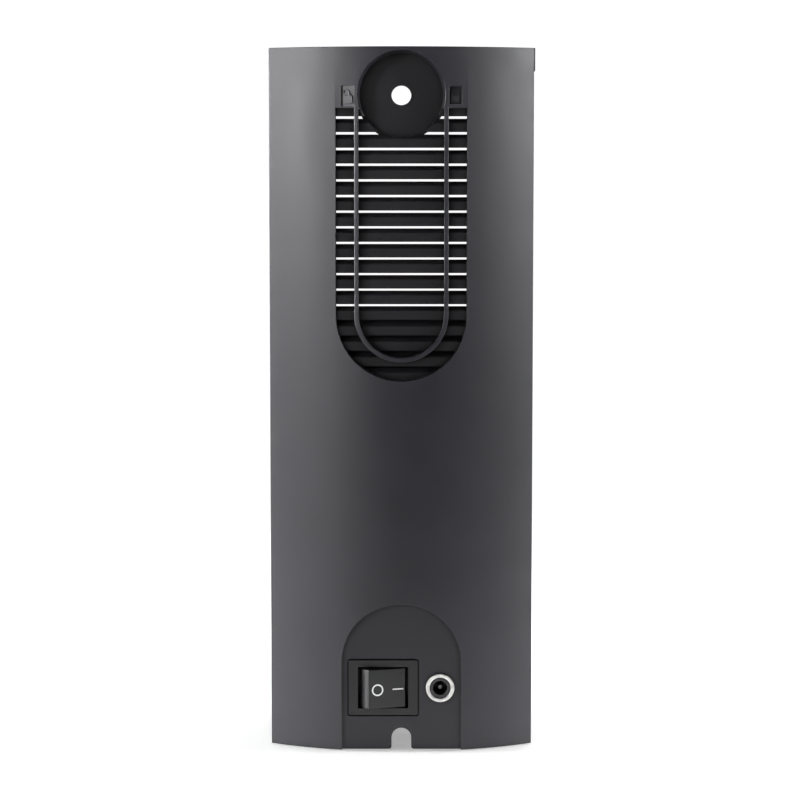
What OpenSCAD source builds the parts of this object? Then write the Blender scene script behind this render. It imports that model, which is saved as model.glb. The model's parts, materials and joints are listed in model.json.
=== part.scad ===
// Compact desktop air purifier: air comes in through a filter behind the front
// door, a 70 mm fan lifts it into an upper chamber, and it leaves through louvres
// at the rear and a grille at the front.
// +Z is up, the rear face looks along -Y, and the origin is on the table.

/* [Body] */
// Width of the body, side to side
body_w = 116.5; // [116:0.1:117]
// Depth of the body, rear crown to front crown
body_d = 100; // [99.5:0.1:100.5]
// Height of the body
body_h = 310; // [310:0.5:312]
// Radius of the bowed rear and front faces, seen from above
face_r = 110.3; // [109:0.1:112]
// Thickness of the moulded walls
wall = 2.5; // [2.3:0.1:2.6]

/* [Rear louvre] */
// Half width of the louvre opening
vent_r = 28.55; // [28:0.05:28.8]
// Height of the flat top of the opening
vent_top = 283.5; // [283:0.1:284]
// Height of the centre of the round bottom of the opening
vent_low = 193.3; // [192:0.1:195]
// Distance from one slat to the next
slat_pitch = 6.808; // [6.75:0.001:6.85]
// Height of a slat's front face
slat_face = 4.05; // [3.9:0.05:4.3]
// How far a slat rises from its front edge to its back edge
slat_rise = 1.8; // [1.6:0.1:2]
// Depth of a slat, front to back
slat_deep = 2.8; // [2.5:0.1:3]
// Depth of the flat louvre plane behind the rear crown
vent_plane = 5; // [4.8:0.1:5.2]

/* [Lock] */
// Height of the lock disc's axis
lock_z = 289.2; // [289:0.1:289.4]
// Radius of the dish where it meets the rear face
dish_r = 19.4; // [19.2:0.1:19.5]
// Radius of the hole through the disc
lock_bore_r = 4.3; // [4:0.05:4.4]
// Radius of the lock disc
disc_r = 19.7; // [19.5:0.05:19.7]

/* [Sockets] */
// Distance of the rocker switch from the middle
switch_x = -8.1; // [-9:0.1:-7.5]
// Height of the switch and the power socket
socket_z = 28; // [27:0.1:29]
// Distance of the power socket from the middle
jack_x = 17.2; // [17:0.1:18.5]
// Rest tilt of the rocker, either way from level
rocker_tilt = 16.5; // [12:0.5:17]
// Width of the cable notch
notch_w = 8.7; // [8:0.1:9]
// Height of the cable notch
notch_h = 9.5; // [9:0.1:10]

/* [Fan] */
// Size of the square fan frame
fan_size = 70; // [70:70]
// Number of fan blades
blade_count = 7; // [5:1:9]
// Radius at the blade tips
blade_tip_r = 32; // [31:0.1:32.2]

/* [Filter] */
// Number of pleats in the filter
pleat_count = 20; // [14:1:24]

/* [Hidden] */

$fn = 64;
big = 400;            // larger than the whole object
gap = 0.15;           // assembly gap between fitted mouldings
run = 0.05;           // radial clearance of a running fit
rear_y = -body_d / 2;
front_y = body_d / 2;
arc_c = face_r - body_d / 2;   // distance of each arc's centre from the middle
seam_y = -30;         // where the rear cover meets the front housing
cover_z = 0.3;        // lower edge of the rear cover
house_z = 5;          // lower edge of the front housing
cap_t = 2;            // thickness of the top cap

disc_d = 8.35;        // depths behind the rear crown: front of the lock disc,
disc_t = 2;           // its thickness,
hub_r = 7;            // its hub and
cam_hub_r = 6.2;      // the neck that carries the cam
retainer_d = disc_d + disc_t + 0.1;
retainer_t = 2;
cam_d = retainer_d + retainer_t + 2;
cam_t = 2;
boss_x = 25;          // retainer bosses, either side of the disc
sleeve_z = 290.7;     // axis of the straight sleeve behind the disc
sleeve_r = 5.9;
sleeve_wall = 0.9;

recess_r = 26.3;      // half width of the arched recess
recess_z = 39.8;      // height of the centre of its arch
recess_d = 5;         // depth of its flat floor
floor_t = 2.5;
pad_d = 9;            // back of the thicker pad behind the switch

bezel = [30.6, 24.6]; // switch bezel, window, rocker and barrel sizes
bezel_d = 4.6;        // front of the bezel, behind the crown
bezel_t = 2;
window = [22.3, 18.6];
barrel = [27.8, 22];
switch_back = 24;     // depth of the back of the switch
rocker_r = 10.4;
rocker_top = 6.11;    // rocker face above its axis
rocker_low = 3;
rocker_h = 17.4;
rocker_d = bezel_d + 3.9;   // depth of the rocker's axis

jack_r = 6.3;         // flange, thread and insert radii of the power socket
thread_r = 5.5;
insert_r = 4.7;
socket_r = 3.2;

ring_in = 18.65;      // rail around the louvre
ring_out = 20.55;
ring_low = 193.6;
ring_top = 293.4;

grille_r = 33;        // front outlet grille
grille_top = 283.4;
grille_low = 192;
grille_pitch = 7.406;
grille_slot = 4.4;
grille_first = 281.2;
grille_rows = 17;

door_x = 46;          // half width of the filter door
door_low = 13;
door_top = 148;
hinge = [0, 36, 18];  // axis of the door hinge
pin_r = 1.5;
magnet_x = 38;
magnet_z = 144;

base_z = 11;          // underside of the base plate
base_t = 2.5;
base_front = 30;
post = [49, 24];      // screw posts in the corners of the housing
foot = [38, 18];

deck_z = 156;         // underside of the fan deck
deck_t = 2.5;
fan_z = 160;          // underside of the fan
fan_h = 20;
fan_hole = 30;        // half the spacing of the fan's screws
fan_bore_r = 33;
duct_x = 35;          // inner half width of the air duct
duct_t = 1.5;
duct_rear = -38;
duct_front = 40;
duct_roof = 282.2;
lip_top = 194.3;

cart_x = 41;          // filter cartridge
cart_z = [20, 141];
cart_y = [6, 34];
bulk_y = -4;          // bulkhead behind the cartridge

board_z = [76, 136];
board_x = 26;
board_d = 8;          // depth of the board behind the crown
wall_d = 17;          // depth of the chassis wall behind the board
low_wall_d = 33;      // depth of its lower part, behind the switch
step_z = 60;

function rear(d) = rear_y + d;
// Y of the front face's surface at a distance x from the middle, moved in by t
function front_at(x, t = 0) = -arc_c + sqrt(pow(face_r - t, 2) - x * x);

black = [0.13, 0.13, 0.14];
dark = [0.2, 0.2, 0.22];
steel = [0.75, 0.75, 0.77];

// ---- shared shapes -------------------------------------------------------

// Outline of the body from above, moved in by t
module plan(t = 0) {
  intersection() {
    translate([0, arc_c]) circle(face_r - t, $fn = 180);
    translate([0, -arc_c]) circle(face_r - t, $fn = 180);
    square([body_w - 2 * t, big], center = true);
  }
}

// Solid body shape between two heights
module body_solid(z0, z1, t = 0) {
  translate([0, 0, z0]) linear_extrude(z1 - z0) plan(t);
}

// Axis along +Y, starting at y
module ycyl(r, y, h, x = 0, z = 0, r2 = undef) {
  translate([x, y, z]) rotate([-90, 0, 0])
    cylinder(h = h, r1 = r, r2 = is_undef(r2) ? r : r2);
}

// Axis along +X, starting at x
module xcyl(r, x, h, y, z) {
  translate([x, y, z]) rotate([0, 90, 0]) cylinder(h = h, r = r);
}

// A block given by its low and high corners
module block(a, b) {
  translate(a) cube(b - a);
}

// Extrudes a shape drawn in X and Z from depth y0 to y1
module face(y0, y1) {
  translate([0, y1, 0]) rotate([90, 0, 0]) linear_extrude(y1 - y0) children();
}

// Upright outline with a flat top and a half round bottom
module vent_shape(r, low, top) {
  translate([0, low]) circle(r);
  translate([-r, low]) square([2 * r, top - low]);
}

// Upright outline with a half round top and a flat bottom
module arch_shape(r, bottom, high) {
  translate([0, high]) circle(r);
  translate([-r, bottom]) square([2 * r, high - bottom]);
}

module rounded(size, r) {
  square([size.x - 2 * r, size.y], center = true);
  square([size.x, size.y - 2 * r], center = true);
  for (sx = [-1, 1], sz = [-1, 1])
    translate([sx * (size.x / 2 - r), sz * (size.y / 2 - r)]) circle(r, $fn = 24);
}

// Cross-head screw pointing along -Z from its head's underside at z = 0
module screw(r, length, head_r, head_h) {
  translate([0, 0, -length]) cylinder(h = length, r = r, $fn = 32);
  difference() {
    cylinder(h = head_h, r = head_r, $fn = 32);
    for (a = [0, 90]) rotate(a)
      translate([-head_r * 0.6, -0.3, head_h * 0.4]) cube([head_r * 1.2, 0.6, big]);
  }
}

// ---- rear cover ----------------------------------------------------------

module dish_cut() {
  taper = 1.3 / 8.3;
  ycyl(dish_r + taper, rear(-1), 1 + disc_d, z = lock_z, r2 = dish_r - taper * disc_d);
}

// Outline of the cable notch, with a half round top and eased bottom corners
module notch_shape() {
  ease = 1.2;
  arch_shape(notch_w / 2, -1, cover_z + notch_h - notch_w / 2);
  difference() {
    translate([-notch_w / 2 - ease, -1]) square([notch_w + 2 * ease, 1 + cover_z + ease]);
    for (s = [-1, 1])
      translate([s * (notch_w / 2 + ease), cover_z + ease]) circle(ease, $fn = 24);
  }
}

// Padlock sign, 6.3 tall, standing 0.5 proud of its own ground
module padlock(open) {
  body = [3.7, 3.1];
  stroke = 0.65;
  face(-0.5, 0.4) {
    translate([-body.x / 2, -3.1]) square(body);
    translate([open ? -1 : 0, 1.2]) {
      difference() {
        circle(1.6, $fn = 32);
        circle(1.6 - stroke, $fn = 32);
        translate([-3, -6]) square([6, 6]);
      }
      translate([1.6 - stroke, -1.4]) square([stroke, 1.5]);
      if (!open) translate([-1.6, -1.4]) square([stroke, 1.5]);
    }
  }
}

module icon_pockets() {
  // Left pocket: its floor slopes down away from the dish
  intersection() {
    translate([-19.8, rear(1.95), 0]) rotate([0, 0, -19])
      block([-9, -6, 284.3], [0, 0, 293.1]);
    block([-26.1, rear(-1), 284.3], [-19.2, rear(6), 293.1]);
  }
  // Right pocket: its floor is flat
  block([20.8, rear(-1), 285.3], [26.1, rear(3.7), 292.9]);
}

module rear_cover() {
  color(dark) {
    difference() {
      union() {
        difference() {
          body_solid(cover_z, body_h);
          body_solid(cover_z - 1, body_h + 1, wall);
        }
        intersection() {
          body_solid(cover_z, body_h);
          union() {
            ycyl(dish_r + 1.8, rear_y, disc_d - 0.2, z = lock_z);
            face(rear_y, rear(vent_plane)) vent_shape(vent_r + 1.8, vent_low, vent_top);
            face(rear_y, rear(recess_d + floor_t))
              arch_shape(recess_r + 2, cover_z, recess_z);
            block([switch_x - 17, rear(3), socket_z - 14],
                  [switch_x + 17, rear(pad_d), socket_z + 14]);
          }
        }
        for (s = [-1, 1]) {
          ycyl(3.2, rear(4.2), retainer_d - 4.2, x = s * boss_x, z = lock_z);
          // Hook tabs that drop into slots in the base plate
          block([s * 38 - 4, -41.5, base_z + base_t + 0.5],
                [s * 38 + 4, -33.6, base_z + base_t + 2.5]);
          block([s * 38 - 3, -36, base_z - 1], [s * 38 + 3, -33.6, base_z + base_t + 1]);
        }
        block([body_w / 2 - 1, seam_y - 3, 299.8], [body_w / 2 + 0.5, seam_y, body_h]);
      }
      // Everything forward of the seam belongs to the front housing
      block([-big, seam_y - 0.1, -1], [big, big, big]);
      dish_cut();
      face(rear(-1), rear(30)) vent_shape(vent_r, vent_low, vent_top);
      // Seat for the louvre frame
      difference() {
        face(rear(vent_plane), rear(30))
          vent_shape(vent_r + 1.35, vent_low, vent_top + 1.35);
        ycyl(dish_r + 1.8, rear(-1), 40, z = lock_z);
      }
      face(rear(-1), rear(recess_d)) arch_shape(recess_r, -1, recess_z);
      face(rear(-1), rear(30)) notch_shape();
      translate([switch_x, 0, socket_z]) {
        face(rear(-1), rear(bezel_d + bezel_t)) rounded([31.8, 25.8], 1.2);
        face(rear(-1), rear(30)) square(barrel + [0.3, 0.3], center = true);
      }
      ycyl(thread_r + 0.1, rear(-1), 40, x = jack_x, z = socket_z);
      for (s = [-1, 1])
        ycyl(1.1, rear(6), 20, x = s * boss_x, z = lock_z);
      icon_pockets();
    }
    // Rail around the louvre, flush with the bowed face
    intersection() {
      body_solid(150, body_h);
      difference() {
        face(rear(-1), rear(vent_plane - 0.02)) vent_shape(ring_out, ring_low, ring_top);
        face(rear(-2), rear(20)) vent_shape(ring_in, ring_low, ring_top + 1);
        dish_cut();
      }
    }
    translate([-22.9, rear(2.95), 288.9]) rotate([0, 0, -19]) padlock(true);
    translate([23.2, rear(3.7), 288.9]) padlock(false);
  }
}

// Frame and sloping slats that sit behind the opening
module rear_louvre() {
  first = 279.94;
  count = 18;
  ease = 0.25;
  cut_r = dish_r - 0.8;
  color(black) difference() {
    union() {
      difference() {
        face(rear(vent_plane), rear(10)) vent_shape(vent_r + 1.25, vent_low, vent_top + 1.25);
        face(rear(0), rear(11)) vent_shape(vent_r, vent_low, vent_top);
      }
      intersection() {
        face(rear(vent_plane), rear(10)) vent_shape(vent_r + 0.6, vent_low, vent_top + 0.6);
        for (k = [0 : count - 1])
          translate([-40, rear(vent_plane), first - k * slat_pitch])
            rotate([90, 0, 90]) linear_extrude(80)
              polygon([[0, 0], [slat_deep, slat_rise], [slat_deep, slat_rise + slat_face],
                       [ease, slat_face + ease * slat_rise / slat_deep], [0, slat_face - ease]]);
      }
    }
    dish_cut();
    // Eased edge where the dish cuts the slats
    ycyl(cut_r + 0.5, rear(vent_plane - 0.01), 0.5, z = lock_z, r2 = cut_r);
    // Clear of the dish wall, the disc and the bosses behind it
    intersection() {
      ycyl(dish_r + 2, rear(vent_plane) - 1, 10, z = lock_z);
      block([-big, rear(0), vent_top], [big, 0, big]);
    }
    ycyl(disc_r + 0.3, rear(disc_d - 0.15), 10, z = lock_z);
  }
}

// ---- lock ----------------------------------------------------------------

module lock_disc() {
  color(black) difference() {
    union() {
      ycyl(disc_r, rear(disc_d), disc_t, z = lock_z);
      ycyl(hub_r, rear(disc_d), cam_d - disc_d, z = lock_z);
      ycyl(cam_hub_r, rear(disc_d), cam_d + cam_t - disc_d, z = lock_z);
    }
    ycyl(lock_bore_r, rear(disc_d) - 1, 20, z = lock_z);
    // Keyways behind the face that a key's pin turns in
    block([-5.2, rear(disc_d + disc_t), lock_z - 1], [5.2, rear(30), lock_z + 1]);
  }
}

module lock_retainer() {
  color(dark) difference() {
    union() {
      ycyl(10.5, rear(retainer_d), retainer_t, z = lock_z);
      face(rear(retainer_d), rear(retainer_d + retainer_t))
        translate([0, lock_z]) rounded([2 * boss_x + 6.4, 6.4], 3.1);
    }
    ycyl(hub_r + run, rear(retainer_d) - 1, 10, z = lock_z);
    for (s = [-1, 1])
      ycyl(1.4, rear(retainer_d) - 1, 10, x = s * boss_x, z = lock_z);
  }
}

module lock_cam() {
  finger_r = 17.5;
  color(steel) difference() {
    union() {
      ycyl(9.5, rear(cam_d), cam_t, z = lock_z);
      face(rear(cam_d), rear(cam_d + cam_t))
        arch_shape(3, lock_z, lock_z + finger_r - 3);
    }
    ycyl(cam_hub_r, rear(cam_d) - 1, 10, z = lock_z);
  }
}

module retainer_screws() {
  color(steel) for (s = [-1, 1])
    translate([s * boss_x, rear(retainer_d + retainer_t), lock_z]) rotate([-90, 0, 0])
      screw(1.1, retainer_d + retainer_t - 6.2, 2.4, 1.6);
}

module lock_sleeve() {
  flange_r = 7.2;
  color(black) difference() {
    union() {
      ycyl(sleeve_r + sleeve_wall, rear(18.5), body_d - 20.5, z = sleeve_z);
      intersection() {
        ycyl(flange_r, front_y - 1.4, 2, z = sleeve_z);
        body_solid(270, body_h);
      }
    }
    ycyl(sleeve_r, -60, 120, z = sleeve_z);
  }
}

// ---- front housing -------------------------------------------------------

module front_housing() {
  lug = 3.6;
  color(dark) difference() {
    union() {
      difference() {
        body_solid(house_z, body_h);
        body_solid(house_z - 1, body_h + 1, wall);
        block([-big, -big, -1], [big, seam_y + 0.1, big]);
        face(30, 60) vent_shape(grille_r, grille_low, grille_top);
        block([-door_x - 0.3, 20, -1], [door_x + 0.3, 60, door_top + 0.4]);
      }
      for (sx = [-1, 1]) {
        // Corner posts for the base screws
        for (sy = [-1, 1]) {
          translate([sx * post.x, sy * post.y, base_z + base_t]) cylinder(h = 11, r = 4);
          block([min(sx * post.x, sx * 56), sy * post.y - 2, base_z + base_t],
                [max(sx * post.x, sx * 56), sy * post.y + 2, base_z + base_t + 11]);
        }
        // Ledges under the fan deck
        block([min(sx * 49.5, sx * 56), -24, deck_z - 8], [max(sx * 49.5, sx * 56), 24, deck_z]);
        // Hinge lugs
        block([min(sx * 46.4, sx * 50), hinge.y - 4, hinge.z - 4],
              [max(sx * 46.4, sx * 50), hinge.y + 1, hinge.z + 4]);
      }
    }
    for (sx = [-1, 1]) {
      for (sy = [-1, 1]) {
        translate([sx * post.x, sy * post.y, 0]) cylinder(h = base_z + base_t + 9, r = 1.5);
        translate([sx * 52.5, sy * 18, deck_z - 7]) cylinder(h = 10, r = 1.4);
      }
    }
    xcyl(pin_r, -52, 104, hinge.y, hinge.z);
    ycyl(sleeve_r + sleeve_wall + 0.1, 30, 40, z = sleeve_z);
    ycyl(7.3, front_y - 1.4, 10, z = sleeve_z);
    ycyl(1.5, 30, 40, z = 153.2);
  }
}

module front_grille() {
  rim = 1.5;
  depth = 3;
  color(black) difference() {
    intersection() {
      difference() {
        body_solid(100, body_h, 0.3);
        body_solid(99, body_h + 1, 0.3 + depth);
      }
      face(30, 60) vent_shape(grille_r - gap, grille_low, grille_top - gap);
    }
    intersection() {
      face(30, 60) vent_shape(grille_r - gap - rim, grille_low, grille_top - gap - 0.8);
      for (k = [0 : grille_rows - 1])
        translate([-40, 30, grille_first - k * grille_pitch - grille_slot / 2])
          cube([80, 30, grille_slot]);
    }
  }
}

module top_cap() {
  keeper = [6, 300];
  color(dark) {
    difference() {
      body_solid(body_h - cap_t, body_h, wall + gap);
      ycyl(dish_r + 1.9, rear(-1), disc_d + 0.9, z = lock_z);
      ycyl(disc_r + 0.3, rear(disc_d - 0.2), disc_t + 0.4, z = lock_z);
    }
    // Keeper that the cam's finger turns behind
    block([-keeper.x, rear(retainer_d + retainer_t + 0.2), keeper[1]],
          [keeper.x, rear(cam_d - 0.2), body_h - cap_t]);
    // Snap legs against the side walls
    for (sx = [-1, 1], y = [-18, 22])
      block([min(sx * 53.6, sx * 55.4), y - 5, body_h - 12],
            [max(sx * 53.6, sx * 55.4), y + 5, body_h - cap_t]);
  }
}

// ---- base ----------------------------------------------------------------

module base_plate() {
  color(black) difference() {
    union() {
      intersection() {
        body_solid(base_z, base_z + base_t, wall + 0.3);
        block([-big, rear(11), 0], [big, base_front, big]);
      }
      for (sx = [-1, 1], sy = [-1, 1])
        translate([sx * foot.x, sy * foot.y, 2.2]) cylinder(h = base_z - 2.2, r = 8);
    }
    for (sx = [-1, 1], sy = [-1, 1]) {
      translate([sx * foot.x, sy * foot.y, 0]) {
        cylinder(h = 3.6, r = 6.6);
        cylinder(h = 8, r = 2.5);
      }
      translate([sx * post.x, sy * post.y, 0]) cylinder(h = 20, r = 1.8);
    }
    for (s = [-1, 1])
      block([s * 38 - 3.3, -36.3, 0], [s * 38 + 3.3, -33.3, 20]);
  }
}

module rubber_feet() {
  color([0.08, 0.08, 0.08]) for (sx = [-1, 1], sy = [-1, 1])
    translate([sx * foot.x, sy * foot.y, 0]) {
      cylinder(h = 3.6, r = 6.5);
      cylinder(h = 7.5, r = 2.5);
    }
}

module base_screws() {
  color(steel) for (sx = [-1, 1], sy = [-1, 1])
    translate([sx * post.x, sy * post.y, base_z]) rotate([180, 0, 0])
      screw(1.5, 10, 3, 2);
}

// ---- filter door ---------------------------------------------------------

module filter_door() {
  slot_h = 3;
  color(dark) difference() {
    union() {
      intersection() {
        difference() {
          body_solid(door_low, door_top);
          body_solid(0, big, wall);
        }
        block([-door_x, 20, 0], [door_x, 60, big]);
      }
      for (s = [-1, 1]) {
        block([s * 43.5 - 1.5, hinge.y - 3, hinge.z - 4],
              [s * 43.5 + 1.5, hinge.y + 3.4, hinge.z + 4]);
        // Magnet pockets
        ycyl(4.2, 38.4, front_at(magnet_x, 1) - 38.4, x = s * magnet_x, z = magnet_z);
      }
    }
    xcyl(pin_r + run, -50, 100, hinge.y, hinge.z);
    for (s = [-1, 1])
      ycyl(3, 30, 10.2, x = s * magnet_x, z = magnet_z);
    // Intake slots inside an arched outline
    intersection() {
      face(30, 60) arch_shape(34, 24, 96);
      for (k = [0 : 15])
        translate([-40, 20, 26 + k * slat_pitch]) cube([80, 40, slot_h]);
    }
  }
}

module door_magnets() {
  color(steel) for (s = [-1, 1])
    ycyl(3, 38.2, 2, x = s * magnet_x, z = magnet_z);
}

module catch_plates() {
  color(steel) for (s = [-1, 1])
    block([s * magnet_x - 3, 36.4, magnet_z - 2.6], [s * magnet_x + 3, 37.8, magnet_z + 3]);
}

module door_pins() {
  color(steel) for (s = [-1, 1])
    xcyl(pin_r, s > 0 ? 41.9 : -51.5, 9.6, hinge.y, hinge.z);
}

// ---- filter --------------------------------------------------------------

module prefilter() {
  rim = 3;
  bar = 0.9;
  cols = 10;
  rows = 14;
  inner = [2 * cart_x - 2 * rim, cart_z[1] - cart_z[0] - 2 * rim];
  cell = [inner.x / cols, inner.y / rows];
  color([0.35, 0.36, 0.38]) difference() {
    block([-cart_x, cart_y[1] + 0.1, cart_z[0]], [cart_x, cart_y[1] + 1.9, cart_z[1]]);
    for (i = [0 : cols - 1], j = [0 : rows - 1])
      translate([-inner.x / 2 + i * cell.x + bar / 2, 30,
                 cart_z[0] + rim + j * cell.y + bar / 2])
        cube([cell.x - bar, 10, cell.y - bar]);
  }
}

module filter_frame() {
  rim = 2;
  color([0.85, 0.85, 0.83]) difference() {
    block([-cart_x, cart_y[0], cart_z[0]], [cart_x, cart_y[1], cart_z[1]]);
    block([-cart_x + rim, 0, cart_z[0] + rim], [cart_x - rim, 60, cart_z[1] - rim]);
  }
}

// Zigzag sheet, folded across the frame
module filter_media() {
  inner = cart_x - 2.1;
  along = 4;          // thickness of the sheet, measured front to back
  y0 = cart_y[0] + 1;
  y1 = cart_y[1] - 1 - along;
  step = 2 * inner / pleat_count;
  fold = [for (i = [0 : pleat_count]) [-inner + i * step, i % 2 == 0 ? y0 : y1]];
  back = [for (i = [pleat_count : -1 : 0]) fold[i] + [0, along]];
  color([0.95, 0.95, 0.93])
    translate([0, 0, cart_z[0] + 2.1]) linear_extrude(cart_z[1] - cart_z[0] - 4.2)
      polygon(concat(fold, back));
}

module carbon_filter() {
  color([0.1, 0.1, 0.1])
    block([-cart_x + 0.5, cart_y[0] - 4.9, cart_z[0] + 0.3],
          [cart_x - 0.5, cart_y[0] - 0.1, cart_z[1] - 0.3]);
}

module filter_tab() {
  color([0.2, 0.4, 0.6]) face(cart_y[1] + 1.9, cart_y[1] + 2.5)
    translate([0, 86]) rounded([16, 26], 3);
}

module filter_seal() {
  color([0.25, 0.25, 0.25]) difference() {
    block([-cart_x, bulk_y + 2, cart_z[0] + 0.2], [cart_x, cart_y[0] - 5, cart_z[1]]);
    block([-cart_x + 4, -10, cart_z[0] + 5], [cart_x - 4, 10, cart_z[1] - 4]);
  }
}

// Upright wall that the cartridge presses against, with its shelf and side guides
module bulkhead() {
  half = body_w / 2 - wall - 0.4;
  color(dark) {
    difference() {
      block([-half, bulk_y, base_z + base_t + 0.1], [half, bulk_y + 2, deck_z - 0.1]);
      block([-37, -10, 26], [37, 10, 136]);
      // Clear of the deck ledges and the wires
      for (s = [-1, 1])
        block([s > 0 ? 49.2 : -big, -10, deck_z - 8.3], [s > 0 ? big : -49.2, 10, big]);
      xcyl(2.4, -54, 6, bulk_y, 20);
    }
    block([-41.6, bulk_y, 17.8], [41.6, 31.5, 19.8]);
    for (s = [-1, 1])
      block([s > 0 ? 41.3 : -43, bulk_y, 17.8], [s > 0 ? 43 : -41.3, 30, 60]);
  }
}

// ---- rear bay ------------------------------------------------------------

// Stepped wall between the sockets and circuit board and the air path
module chassis_wall() {
  half = 42;
  t = 1.6;
  color(dark) difference() {
    union() {
      block([-half, rear(low_wall_d), base_z + base_t + 0.1],
            [half, rear(low_wall_d) + t, step_z]);
      block([-half, rear(wall_d), step_z - t], [half, rear(low_wall_d) + t, step_z]);
      block([-half, rear(wall_d), step_z - t], [half, rear(wall_d) + t, deck_z - 0.1]);
      for (sx = [-1, 1], z = [board_z[0] + 4, board_z[1] - 4])
        ycyl(2.6, rear(board_d + 1.6), wall_d - board_d, x = sx * 22, z = z);
    }
    for (sx = [-1, 1], z = [board_z[0] + 4, board_z[1] - 4])
      ycyl(1.1, rear(board_d), wall_d - board_d - 1, x = sx * 22, z = z);
    // Wire holes
    translate([0, 0, step_z - 5]) cylinder(h = 10, r = 3.5);
    ycyl(3, rear(wall_d - 1), 5, x = 32, z = 146);
  }
}

module control_board() {
  color([0.05, 0.3, 0.15]) difference() {
    block([-board_x, rear(board_d), board_z[0]], [board_x, rear(board_d + 1.6), board_z[1]]);
    for (sx = [-1, 1], z = [board_z[0] + 4, board_z[1] - 4])
      ycyl(1.4, rear(0), 20, x = sx * 22, z = z);
  }
}

// Capacitors, coil, chips and connectors on the board's inner side
module board_parts() {
  y0 = rear(board_d + 1.6);
  color([0.15, 0.15, 0.17]) {
    block([-8, y0, 100], [0, y0 + 1.6, 108]);
    block([6, y0, 96], [13, y0 + 2.2, 112]);
    block([-19, y0, 104], [-12, y0 + 4, 111]);
    block([-10, y0, 80], [4, y0 + 5.6, 86]);
    block([8, y0, 80], [17, y0 + 5.6, 86]);
    block([-8, y0, 124], [8, y0 + 5.6, 130]);
  }
  color([0.3, 0.3, 0.5]) for (z = [92, 120])
    ycyl(3.2, y0, 6, x = -16, z = z);
  color(steel) for (i = [0 : 5])
    block([-7 + i * 2.4, y0, 115], [-5.8 + i * 2.4, y0 + 0.7, 116.8]);
}

module board_screws() {
  color(steel) for (sx = [-1, 1], z = [board_z[0] + 4, board_z[1] - 4])
    translate([sx * 22, rear(board_d), z]) rotate([90, 0, 0])
      screw(1.1, 7.5, 2.2, 1.2);
}

// ---- fan deck and duct ---------------------------------------------------

module fan_deck() {
  half = body_w / 2 - wall - 0.3;
  color(dark) difference() {
    union() {
      intersection() {
        body_solid(deck_z, deck_z + deck_t, wall + 0.3);
        block([-half, rear(wall_d), 0], [half, 36, big]);
      }
      // Brackets for the catch plates and the status light
      for (s = [-1, 1])
        block([s * magnet_x - 4, 34.9, magnet_z - 2.6], [s * magnet_x + 4, 36.4, deck_z + 1]);
      block([-4, 31.5, 150], [4, 34, deck_z + 1]);
    }
    translate([0, 0, deck_z - 1]) cylinder(h = 10, r = fan_bore_r + 0.5);
    for (sx = [-1, 1], sy = [-1, 1]) {
      translate([sx * fan_hole, sy * fan_hole, deck_z - 1]) cylinder(h = 10, r = 1.9);
      translate([sx * 52.5, sy * 18, deck_z - 1]) cylinder(h = 10, r = 1.7);
    }
    // Way through for the fan's wires
    translate([39, -27, deck_z - 1]) cylinder(h = 10, r = 3);
  }
}

module deck_screws() {
  color(steel) for (sx = [-1, 1], sy = [-1, 1])
    translate([sx * 52.5, sy * 18, deck_z + deck_t]) screw(1.4, 9, 2.6, 1.8);
}

module air_duct() {
  tray_z = fan_z + fan_h;
  out_x = duct_x + duct_t;
  color(black) difference() {
    union() {
      block([-out_x, duct_rear, tray_z], [out_x, duct_front, tray_z + 2]);
      for (s = [-1, 1])
        block([s > 0 ? duct_x : -out_x, duct_rear, tray_z],
              [s > 0 ? out_x : -duct_x, duct_front, duct_roof + duct_t]);
      block([-out_x, duct_rear, duct_roof], [out_x, duct_front, duct_roof + duct_t]);
      block([-out_x, duct_rear, deck_z + deck_t + 0.1],
            [out_x, duct_rear + duct_t, lip_top]);
    }
    translate([0, 0, tray_z - 1]) cylinder(h = 10, r = fan_bore_r);
    // Room for the cam and the disc's hub at the rear of the roof
    block([-13, -60, duct_roof - 1], [13, rear(cam_d + cam_t) + 0.6, big]);
    for (sx = [-1, 1], sy = [-1, 1])
      translate([sx * fan_hole, sy * fan_hole, tray_z - 1]) cylinder(h = 10, r = 2.1);
    for (z = [212, 224, 236])
      xcyl(0.7, -40, 8, 0, z);
  }
}

// ---- fan -----------------------------------------------------------------

module fan_frame() {
  strut_h = 2.4;
  color(black) {
    difference() {
      translate([0, 0, fan_z]) linear_extrude(fan_h - 0.05)
        rounded([fan_size, fan_size], 4);
      translate([0, 0, fan_z - 1]) cylinder(h = 40, r = fan_bore_r);
      for (sx = [-1, 1], sy = [-1, 1])
        translate([sx * fan_hole, sy * fan_hole, fan_z - 1]) cylinder(h = 40, r = 2.1);
    }
    difference() {
      union() {
        translate([0, 0, fan_z]) cylinder(h = strut_h, r = 13.5);
        for (a = [20 : 90 : 380]) rotate(a)
          translate([0, -1.8, fan_z]) cube([fan_bore_r + 0.5, 3.6, strut_h]);
        translate([0, 0, fan_z]) cylinder(h = 16, r = 5);
      }
      translate([0, 0, fan_z + 1.4]) cylinder(h = 20, r = 3.2);
    }
  }
}

module fan_stator() {
  color([0.45, 0.45, 0.48]) difference() {
    union() {
      translate([0, 0, fan_z + 4.5]) cylinder(h = 9, r = 6.4);
      for (a = [0 : 60 : 300]) rotate(a) {
        translate([5.5, -1, fan_z + 4.5]) cube([4.5, 2, 9]);
        intersection() {
          translate([9.4, -4, fan_z + 4.5]) cube([3, 8, 9]);
          translate([0, 0, fan_z + 4.5]) cylinder(h = 9, r = 11.2);
        }
      }
    }
    translate([0, 0, fan_z]) cylinder(h = 20, r = 5);
  }
}

module fan_coils() {
  color([0.72, 0.4, 0.2]) for (a = [0 : 60 : 300]) rotate(a)
    difference() {
      translate([6.6, -1.9, fan_z + 3.6]) cube([2.7, 3.8, 10.8]);
      translate([5, -1, fan_z + 4.5]) cube([6, 2, 9]);
    }
}

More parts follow.
